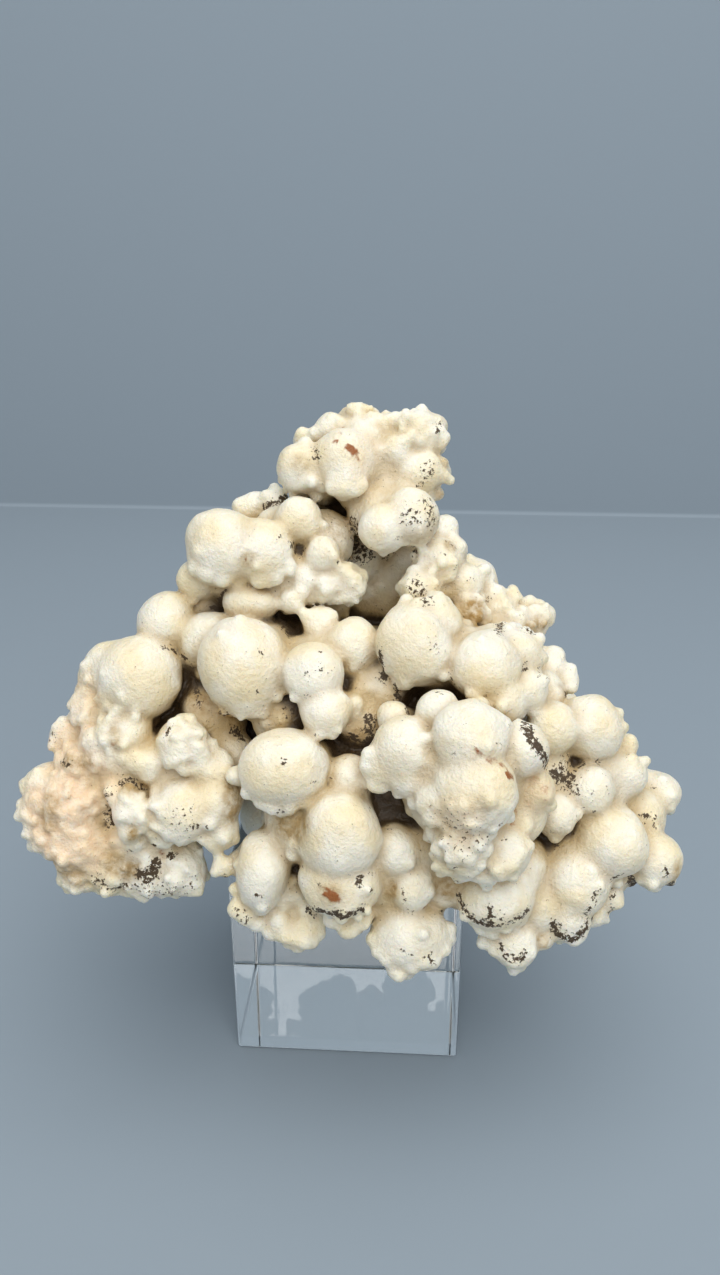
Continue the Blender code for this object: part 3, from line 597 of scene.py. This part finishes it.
class Field:
    """Distances to the stone's skin on a grid, less than 0 inside the stone."""

    def __init__(self, low, high):
        self.low = np.array(low) - ROOM
        self.count = np.ceil((np.array(high) + ROOM - self.low) / STEP).astype(int) + 1
        self.values = np.full(self.count, FAR, np.float32)
        self.dice = random.Random(SEED)

    def window(self, centre, reach):
        """The part of the grid within reach of a centre, and the places there from it."""
        low = (np.array(centre) - reach - self.low) / STEP
        high = (np.array(centre) + reach - self.low) / STEP
        first = np.clip(np.floor(low).astype(int), 0, self.count)
        last = np.clip(np.ceil(high).astype(int) + 1, first, self.count)
        part = tuple(slice(a, b) for a, b in zip(first, last))
        rows = [
            (self.low[i] - centre[i] + STEP * np.arange(first[i], last[i])).astype(np.float32)
            for i in range(3)
        ]
        return part, np.meshgrid(*rows, indexing="ij", sparse=True)

    def join(self, part, distance, blend):
        """Adds a shape to a part of the grid, with a soft crease of the width blend."""
        old = self.values[part]
        near = np.maximum(blend - np.abs(old - distance), 0)
        self.values[part] = np.minimum(old, distance) - near * near / (4 * blend)

    def ball(self, centre, radii, axes=Matrix.Identity(3)):
        """An ellipsoid with its radii along three axes."""
        part, (x, y, z) = self.window(centre, max(radii) + MARGIN)
        shares = [(x * a[0] + y * a[1] + z * a[2]) / r for a, r in zip(axes, radii)]
        near = np.sqrt(sum(s * s for s in shares) + TINY)
        slope = np.sqrt(sum((s / r) ** 2 for s, r in zip(shares, radii)) + TINY)
        self.join(part, near * (near - 1) / slope, BLEND)

    def round_ball(self, centre, radius, blend=BLEND):
        part, (x, y, z) = self.window(centre, radius + MARGIN)
        self.join(part, np.sqrt(x * x + y * y + z * z) - radius, blend)

    def stem(self, tip, root, radius):
        """A round bar with round ends."""
        half = (root - tip) / 2
        reach = np.abs(np.array(half)) + radius + MARGIN
        part, (x, y, z) = self.window((tip + root) / 2, reach)
        along = np.clip((x * half.x + y * half.y + z * half.z) / half.length_squared, -1, 1)
        away = (x - along * half.x) ** 2 + (y - along * half.y) ** 2 + (z - along * half.z) ** 2
        self.join(part, np.sqrt(away) - radius, BLEND)

    def stalk(self, tip, root, radius):
        """A stem from a lobe's middle to where it comes out of the core, with lumps."""
        self.stem(tip, root, radius)
        steps = int((root - tip).length / (radius * LUMP_SPACING))
        for step in range(1, steps):
            shift = Vector(self.dice.uniform(-LUMP_SHIFT, LUMP_SHIFT) for _ in range(3))
            point = tip.lerp(root, step / steps) + shift * radius
            size = radius * self.dice.uniform(LUMP_SMALLEST, LUMP_LARGEST)
            if not meets_block(point, size):
                self.round_ball(point, size)

    def ripple(self, length, height, seed):
        """Raises and lowers the skin in smooth waves."""
        places = [STEP * np.arange(n) / length for n in self.count]
        counts = [int(p[-1]) + 4 for p in places]
        waves = np.random.default_rng(seed).uniform(-height, height, counts)
        for row, count in zip(places, counts):
            waves = np.tensordot(waves.astype(np.float32), spline_weights(row, count), (0, 1))
        self.values += waves

    def clear_block(self):
        """Cuts away what would come closer to the block than the gap."""
        half = BLOCK_SIDE / 2
        centre = Vector((0, 0, half))
        part, (x, y, z) = self.window(centre, half + FAR)
        away = [np.maximum(np.abs(a) - half, 0) for a in (x, y, z)]
        distance = np.sqrt(sum(a * a for a in away))
        self.values[part] = np.maximum(self.values[part], GAP - distance)

    def at(self, values, points):
        """The grid's values at some points."""
        place = (points - self.low) / STEP
        first = np.clip(np.floor(place).astype(int), 0, self.count - 2)
        share = place - first
        total = np.zeros(len(points))
        for corner in np.ndindex(2, 2, 2):
            i, j, k = (first + corner).T
            total += np.prod(np.where(corner, share, 1 - share), axis=1) * values[i, j, k]
        return total

    def outward(self, points):
        """The directions in which the skin faces at some points."""
        slopes = [
            self.at(self.values, points + way) - self.at(self.values, points - way)
            for way in np.eye(3) * STEP
        ]
        slopes = np.stack(slopes, axis=1)
        return slopes / (np.linalg.norm(slopes, axis=1, keepdims=True) + TINY)

    def meet(self, across, up):
        """Where the line of sight first meets the stone, or else passes it nearest."""
        ray = np.array(FORWARD * PLANE + RIGHT * across + UP * up)
        shares = np.arange(SIGHT_FIRST, SIGHT_LAST, SIGHT_STEP)
        points = np.array(EYE) + shares[:, None] * ray
        depths = self.at(self.values, points)
        inside = np.flatnonzero(depths < 0)
        hit = inside[0] if len(inside) else depths.argmin()
        return points[hit]


def grow_front(field):
    """The lobes that show in front, each with its stalk."""
    view_to_part = Matrix((RIGHT, UP, FORWARD))
    for group, rows in LOBES.items():
        root = Vector(ROOTS[group])
        for across, up, toward, wide, *rest in rows:
            high = rest[0] if rest else wide
            deep = (wide + high) / 2
            point, share = seen(across, up, toward)
            field.ball(point, Vector((wide, high, deep)) * share, view_to_part)
            field.stalk(point, root, min(wide, high) * share * STALK_SHARE)


def grow_cores(field):
    """The masses that the lobes grow from."""
    for x, y, z, *radii in CORES.values():
        field.ball(Vector((x, y, z)), radii)


def grow_feet(field):
    """The lobes that the stone rests on."""
    root = Vector(ROOTS["lower"])
    for x, y, radius in FEET:
        point = Vector((x, y, BLOCK_SIDE + GAP + radius))
        field.round_ball(point, radius)
        field.stalk(point, root, radius * STALK_SHARE)


def inside_core(point):
    """Whether a point is well inside one of the cores."""
    for x, y, z, *radii in CORES.values():
        away = [(p - c) / (r * CORE_DEPTH) for p, c, r in zip(point, (x, y, z), radii)]
        if sum(a * a for a in away) < 1:
            return True
    return False


def grow_back(field):
    """Lobes over the sides that the photo does not show."""
    dice = field.dice
    golden_angle = math.pi * (3 - math.sqrt(5))
    for x, y, z, *radii in CORES.values():
        mean = sum(radii) / 3
        count = round(4 * math.pi * mean**2 / BACK_SPACING**2)
        for step in range(count):
            height = 1 - (2 * step + 1) / count
            ring = math.sqrt(1 - height**2)
            angle = golden_angle * step + dice.uniform(-BACK_JITTER, BACK_JITTER)
            way = Vector((ring * math.cos(angle), ring * math.sin(angle), height))
            radius = dice.uniform(BACK_SMALLEST, BACK_LARGEST)
            point = Vector((x, y, z)) + Vector(r * w for r, w in zip(radii, way))
            hidden = inside_core(point) or meets_block(point, radius)
            if way.dot(FORWARD) > BACK_FACING and not hidden:
                field.round_ball(point, radius)


def skin_of(values, low, step):
    """The points and four-sided faces of the surface where the grid's values are 0."""
    inside = values < 0
    count = sum(
        inside[tuple(slice(c, n - 1 + c) for c, n in zip(corner, inside.shape))].astype(np.int8)
        for corner in np.ndindex(2, 2, 2)
    )
    mixed = (count > 0) & (count < 8)
    cells = np.argwhere(mixed)
    numbers = np.full(mixed.shape, -1, np.int32)
    numbers[mixed] = np.arange(len(cells))
    total = np.zeros((len(cells), 3))
    crossings = np.zeros(len(cells))
    faces = []
    for axis in range(3):
        one, two = (axis + 1) % 3, (axis + 2) % 3
        way = np.eye(3, dtype=int)
        for side_one, side_two in np.ndindex(2, 2):
            start = cells + side_one * way[one] + side_two * way[two]
            first = values[tuple(start.T)]
            last = values[tuple((start + way[axis]).T)]
            crossed = (first < 0) != (last < 0)
            share = first[crossed] / (first[crossed] - last[crossed])
            total[crossed] += start[crossed] + share[:, None] * way[axis]
            crossings[crossed] += 1
        ahead = np.roll(inside, -1, axis)
        edges = np.argwhere(inside != ahead)
        edges = edges[(edges[:, one] > 0) & (edges[:, two] > 0)]
        ring = [edges, edges - way[one], edges - way[one] - way[two], edges - way[two]]
        ring = np.stack([numbers[tuple(corner.T)] for corner in ring], axis=1)
        turned = ~inside[tuple(edges.T)]
        ring[turned] = ring[turned][:, ::-1]
        faces.append(ring)
    points = np.array(low) + step * total / crossings[:, None]
    return points, np.concatenate(faces)


def biggest_shell(points, faces):
    """The faces that hang together with the most others, and the points they use."""
    labels = np.arange(len(points))
    ends = np.concatenate([faces[:, [0, 1]], faces[:, [1, 2]], faces[:, [2, 3]]])
    changed = True
    while changed:
        low = np.minimum(labels[ends[:, 0]], labels[ends[:, 1]])
        new = labels.copy()
        np.minimum.at(new, ends[:, 0], low)
        np.minimum.at(new, ends[:, 1], low)
        new = new[new]
        changed = bool((new != labels).any())
        labels = new
    biggest = np.bincount(labels).argmax()
    kept = labels == biggest
    numbers = np.cumsum(kept) - 1
    return points[kept], numbers[faces[kept[faces[:, 0]]]]


def eased(values):
    """Values held between 0 and 1, with soft ends."""
    share = np.clip(values, 0, 1)
    return share * share * (3 - 2 * share)


def eased_between(values, low, high):
    """How far values are from low to high, with soft ends."""
    return eased((values - low) / (high - low))


def stroke_share(points, anchors, width):
    """How much a stroke through some anchors covers each point, from 0 to 1."""
    nearest = np.full(len(points), np.inf)
    if len(anchors) == 1:
        anchors = [anchors[0], anchors[0]]
    for first, last in zip(anchors, anchors[1:]):
        run = last - first
        along = np.clip((points - first) @ run / (run @ run + TINY), 0, 1)
        away = np.linalg.norm(points - first - along[:, None] * run, axis=1)
        nearest = np.minimum(nearest, away)
    return eased(STROKE_END - nearest / width)


def grain_share(field, points):
    """How grainy the skin is at some points, from 0 to 1."""
    share = np.zeros(len(points))
    for across, up, radius in GRAINY:
        anchor = field.meet(across, up)
        share = np.maximum(share, stroke_share(points, [anchor], radius))
    return share


def grow_knobs(field):
    """The small knobs seen from the front, and those scattered by chance."""
    for rows in KNOBS.values():
        places = [(Vector(field.meet(across, up)), radius) for across, up, radius in rows]
        for point, radius in places:
            centre = point + FORWARD * radius * KNOB_SINK
            field.round_ball(centre, radius, KNOB_BLEND)
    dice = np.random.default_rng(SEED)
    coarse = field.values[::COARSE, ::COARSE, ::COARSE]
    points, _ = skin_of(coarse, field.low, STEP * COARSE)
    outward = field.outward(points)
    grain = grain_share(field, points)
    under = np.clip(-outward[:, 2], 0, 1) ** 2
    chance = PLAIN_CHANCE + UNDER_CHANCE * under + GRAIN_CHANCE * grain
    chosen = dice.random(len(points)) < chance
    smallest = KNOB_SMALLEST + (GRAIN_SMALLEST - KNOB_SMALLEST) * grain
    largest = KNOB_LARGEST + (GRAIN_LARGEST - KNOB_LARGEST) * grain
    radii = dice.uniform(smallest, largest)
    shifts = dice.uniform(-KNOB_SHIFT, KNOB_SHIFT, points.shape) * STEP * COARSE
    centres = points + shifts - outward * (radii * KNOB_SINK)[:, None]
    for centre, radius in zip(centres[chosen], radii[chosen]):
        field.round_ball(centre, radius, KNOB_BLEND)


def blurred(values, reach):
    """The mean of a grid's values around each place, taken twice."""
    for _ in range(2):
        for axis in range(3):
            pads = [(reach + 1, reach) if a == axis else (0, 0) for a in range(3)]
            total = np.cumsum(np.pad(values, pads, mode="edge"), axis=axis)
            length = values.shape[axis]
            upper = np.take(total, range(2 * reach + 1, 2 * reach + 1 + length), axis)
            lower = np.take(total, range(length), axis)
            values = (upper - lower) / (2 * reach + 1)
    return values


def grow_stone():
    """The whole stone in a grid around its solid's box."""
    low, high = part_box("aragonite_cluster")
    field = Field(low / METRE, high / METRE)
    grow_front(field)
    grow_cores(field)
    grow_feet(field)
    grow_back(field)
    for seed, (length, height) in enumerate(WAVES):
        field.ripple(length, height, SEED + seed)
    grow_knobs(field)
    field.clear_block()
    return field


def new_object(name, data, material):
    """An object in the scene with one material."""
    thing = bpy.data.objects.new(name, data)
    thing.data.materials.append(material)
    bpy.context.scene.collection.objects.link(thing)
    return thing


def settled(thing):
    """Puts what the object's modifiers make in the place of its mesh."""
    graph = bpy.context.evaluated_depsgraph_get()
    data = bpy.data.meshes.new_from_object(thing.evaluated_get(graph))
    thing.modifiers.clear()
    thing.data = data
    return thing


def paint(data, name, shares):
    """Keeps a share for each point of a mesh under a name."""
    layer = data.attributes.new(name, "FLOAT", "POINT")
    layer.data.foreach_set("value", shares.astype(np.float32))


def paint_stone(data, field):
    """The shares that the stone's material reads: hollows and depths, which carry painted shade and
    staining, grains and stains.
    """
    points = np.empty(len(data.vertices) * 3)
    data.vertices.foreach_get("co", points)
    points = points.reshape(-1, 3) / METRE
    stone = (field.values < 0).astype(np.float32)
    hollow_shade_and_stain = field.at(blurred(stone, HOLLOW_REACH), points)
    deep = field.at(blurred(stone, DEEP_REACH), points)
    paint(data, "hollow_shade_and_stain", eased_between(hollow_shade_and_stain, *HOLLOW_SHARES))
    paint(data, "deep", eased_between(deep, *DEEP_SHARES))
    paint(data, "grain", grain_share(field, points))
    for kind, strokes in STAINS.items():
        share = np.zeros(len(points))
        for width, strength, *route in strokes:
            anchors = [field.meet(across, up) for across, up in route]
            share = np.maximum(share, strength * stroke_share(points, anchors, width))
        paint(data, kind, share)


class Material:
    """A material whose nodes are added one by one."""

    def __init__(self, name):
        self.material = bpy.data.materials.new(name)
        self.material.use_nodes = True
        self.tree = self.material.node_tree
        self.shader = self.tree.nodes["Principled BSDF"]

    def put(self, socket, value):
        """Sets a socket's value, or links another node's socket to it."""
        if isinstance(value, bpy.types.NodeSocket):
            self.tree.links.new(value, socket)
        elif isinstance(value, tuple) and len(value) == 3 and socket.type == "RGBA":
            socket.default_value = (*value, 1)
        else:
            socket.default_value = value

    def node(self, kind, settings=None, **values):
        """Adds a node, with its own settings and the values of its sockets."""
        node = self.tree.nodes.new("ShaderNode" + kind)
        for name, value in (settings or {}).items():
            setattr(node, name, value)
        for name, value in values.items():
            self.put(node.inputs[name.replace("_", " ")], value)
        return node

    def share(self, name):
        """A share that is kept at the mesh's points."""
        return self.node("Attribute", {"attribute_name": name}).outputs["Fac"]

    def math(self, operation, first, second):
        node = self.node("Math", {"operation": operation})
        self.put(node.inputs[0], first)
        self.put(node.inputs[1], second)
        return node.outputs[0]

    def noise(self, scale, detail=3.0, roughness=0.55):
        place = self.node("TexCoord").outputs["Object"]
        values = {"Scale": scale, "Detail": detail, "Roughness": roughness}
        return self.node("TexNoise", Vector=place, **values).outputs["Fac"]

    def ramp(self, value, low, high, lowest=0.0, highest=1.0):
        """A value's place between low and high, turned into lowest to highest."""
        node = self.node("MapRange", {"interpolation_type": "SMOOTHSTEP"}, Value=value)
        node.inputs["From Min"].default_value = low
        node.inputs["From Max"].default_value = high
        node.inputs["To Min"].default_value = lowest
        node.inputs["To Max"].default_value = highest
        return node.outputs["Result"]

    def mix(self, share, first, second):
        node = self.node("Mix", {"data_type": "RGBA"})
        self.put(node.inputs["Factor"], share)
        colours = [s for s in node.inputs if s.type == "RGBA"]
        self.put(colours[0], first)
        self.put(colours[1], second)
        return next(s for s in node.outputs if s.type == "RGBA")

    def finish(self, **values):
        """Sets the shader's sockets and gives the material."""
        for name, value in values.items():
            self.put(self.shader.inputs[name.replace("_", " ")], value)
        return self.material


def aragonite():
    """Waxy white to cream stone with speckled dirt and stains, and painted shade: honey in its
    hollows and deep places, partly shade and partly staining, and near black in its deepest places.
    """
    stone = Material("aragonite")
    cloudy = stone.noise(CLOUD_SCALE)
    fine = stone.noise(FINE_SCALE, 4.0)
    specks = stone.noise(SPECK_SCALE, 3.0, 0.65)
    hollow_shade_and_stain = stone.share("hollow_shade_and_stain")
    # The depth share gives painted shade and staining, honey and near black, and more dirt specks
    deep = stone.share("deep")
    grain = stone.share("grain")

    pink = stone.math("MULTIPLY", stone.share("pink"), stone.ramp(fine, *PINK_GRAINS))
    # Painted shade and staining: deep places turn honey in clouds
    deep_honey_shade_and_stain = stone.math("MULTIPLY", deep, stone.ramp(cloudy, *HONEY_CLOUDS))
    ochre = stone.math("MULTIPLY", stone.share("ochre"), stone.ramp(fine, *OCHRE_GRAINS))
    rust = stone.math("MULTIPLY", stone.share("rust"), RUST_STRENGTH)
    rusty = stone.math("SUBTRACT", stone.math("ADD", rust, fine), RUST_LEVEL)
    deep_dirt = stone.math("MULTIPLY", deep, DEEP_DIRT)
    dirt = stone.math("ADD", stone.share("dirt"), deep_dirt)
    level = stone.math("ADD", stone.math("MULTIPLY", dirt, DIRT_STRENGTH), specks)
    soil = stone.ramp(level, *SOIL_SPECKS)

    colour = stone.mix(stone.ramp(cloudy, *CREAM_CLOUDS), WHITE, CREAM)
    # Painted shade and staining: hollows turn honey
    colour = stone.mix(stone.math("MULTIPLY", hollow_shade_and_stain, HOLLOW_SHADE_AND_STAIN_STRENGTH), colour, HONEY_SHADE_AND_STAIN)
    colour = stone.mix(pink, colour, PINK)
    colour = stone.mix(deep_honey_shade_and_stain, colour, HONEY_SHADE_AND_STAIN)
    colour = stone.mix(ochre, colour, OCHRE)
    # Painted shade: the deepest places turn near black
    colour = stone.mix(stone.ramp(deep, *CAVE_SHADE_DEPTHS), colour, CAVE_SHADE)
    colour = stone.mix(stone.ramp(rusty, *RUST_GRAINS), colour, RUST)
    colour = stone.mix(soil, colour, SOIL)

    grainy = stone.math("MULTIPLY", grain, GRAIN_ROUGHNESS)
    rough = stone.math("ADD", stone.ramp(fine, *SKIN_ROUGHNESS), grainy)
    rough = stone.math("ADD", rough, stone.math("MULTIPLY", soil, SOIL_ROUGHNESS))
    fine_height = stone.math("MULTIPLY", fine, FINE_HEIGHT)
    height = stone.math("ADD", fine_height, stone.math("MULTIPLY", specks, SPECK_HEIGHT))
    bump = stone.node("Bump", Strength=BUMP_STRENGTH, Distance=BUMP_DEPTH, Height=height)
    return stone.finish(
        Base_Color=colour,
        Roughness=rough,
        Normal=bump.outputs["Normal"],
        Subsurface_Weight=GLOW,
        Subsurface_Radius=GLOW_COLOURS,
        Subsurface_Scale=GLOW_DEPTH,
    )


def dress_stone():
    """The stone's skin, drawn from the grid, thinned and painted."""
    field = grow_stone()
    points, faces = biggest_shell(*skin_of(field.values, field.low, STEP))
    data = bpy.data.meshes.new("aragonite_cluster_skin")
    data.from_pydata(points * METRE, [], faces)
    stone = new_object("aragonite_stone", data, aragonite())
    soften = stone.modifiers.new("Soften", "SMOOTH")
    soften.iterations = SOFTENING
    thin = stone.modifiers.new("Thin", "DECIMATE")
    thin.ratio = STONE_TRIANGLES / (2 * len(faces))
    settled(stone)
    stone.data.shade_smooth()
    paint_stone(stone.data, field)
    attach(stone, "root")
    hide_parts("aragonite_cluster")
    return stone


def acrylic():
    """Clear acrylic, polished, with a few faint scuffs."""
    clear = Material("acrylic")
    scuffs = clear.noise(SCUFF_SCALE, 6.0, 0.7)
    return clear.finish(
        Base_Color=ACRYLIC_COLOUR,
        Roughness=clear.ramp(scuffs, *SCUFF_ROUGHNESS),
        Transmission_Weight=1.0,
        IOR=ACRYLIC_IOR,
    )


def dress_block():
    """The clear block, with its edges softly broken."""
    form = bmesh.new()
    bmesh.ops.create_cube(form, size=BLOCK_SIDE * METRE)
    bmesh.ops.translate(form, verts=form.verts, vec=(0, 0, BLOCK_SIDE / 2 * METRE))
    data = bpy.data.meshes.new("display_block_skin")
    form.to_mesh(data)
    form.free()
    block = new_object("acrylic_block", data, acrylic())
    bevel = block.modifiers.new("Edges", "BEVEL")
    bevel.width = BLOCK_BEVEL * METRE
    bevel.segments = BLOCK_BEVEL_STEPS
    bevel.harden_normals = True
    block.data.shade_smooth()
    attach(block, "root")
    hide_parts("display_block")
    return block


def backdrop():
    """A plain floor with a narrow bend into a wall behind."""
    bend = [math.pi / 2 * step / BEND_STEPS for step in range(BEND_STEPS + 1)]
    curve = [(WALL_AT + WALL_BEND * math.sin(a), WALL_BEND * (1 - math.cos(a))) for a in bend]
    outline = [(FLOOR_FRONT, 0), *curve, (WALL_AT + WALL_BEND, WALL_HEIGHT)]
    sides = (-FLOOR_WIDTH / 2, FLOOR_WIDTH / 2)
    points = [(x, y, z - FLOOR_DROP) for y, z in outline for x in sides]
    faces = [(2 * i, 2 * i + 1, 2 * i + 3, 2 * i + 2) for i in range(len(outline) - 1)]
    data = bpy.data.meshes.new("backdrop")
    data.from_pydata(points, [], faces)
    data.shade_smooth()
    matt = Material("backdrop")
    matt.finish(Base_Color=FLOOR_COLOUR, Roughness=0.9, Specular_IOR_Level=0.1)
    new_object("backdrop", data, matt.material)


def lamp(name, place, target, size, power, colour):
    """A round soft lamp that faces a point."""
    data = bpy.data.lights.new(name, "AREA")
    data.shape = "DISK"
    data.size = size
    data.energy = power
    data.color = colour
    thing = bpy.data.objects.new(name, data)
    thing.location = place
    towards = Vector(target) - Vector(place)
    thing.rotation_euler = towards.to_track_quat("-Z", "Y").to_euler()
    bpy.context.scene.collection.objects.link(thing)


def studio():
    """Soft light from above, a lamp from the front and a dim even sky."""
    for name, values in LAMPS.items():
        lamp(name, *values)
    world = bpy.data.worlds.new("sky")
    world.use_nodes = True
    sky = world.node_tree.nodes["Background"]
    sky.inputs["Color"].default_value = SKY_COLOUR
    sky.inputs["Strength"].default_value = SKY_STRENGTH
    bpy.context.scene.world = world
    bpy.context.scene.view_settings.view_transform = "Standard"


def camera():
    """The camera stands at the eye and looks as the photo's camera did."""
    data = bpy.data.cameras.new("camera")
    data.sensor_width = SENSOR
    data.lens = SENSOR * FOCAL_PIXELS / PHOTO_HEIGHT
    data.clip_start = NEAREST_SEEN
    thing = bpy.data.objects.new("camera", data)
    turn = Matrix((RIGHT, UP, -FORWARD)).transposed().to_4x4()
    thing.matrix_world = Matrix.Translation(Vector(EYE) * METRE) @ turn
    bpy.context.scene.collection.objects.link(thing)
    bpy.context.scene.camera = thing


dress_stone()
dress_block()
backdrop()
studio()
camera()
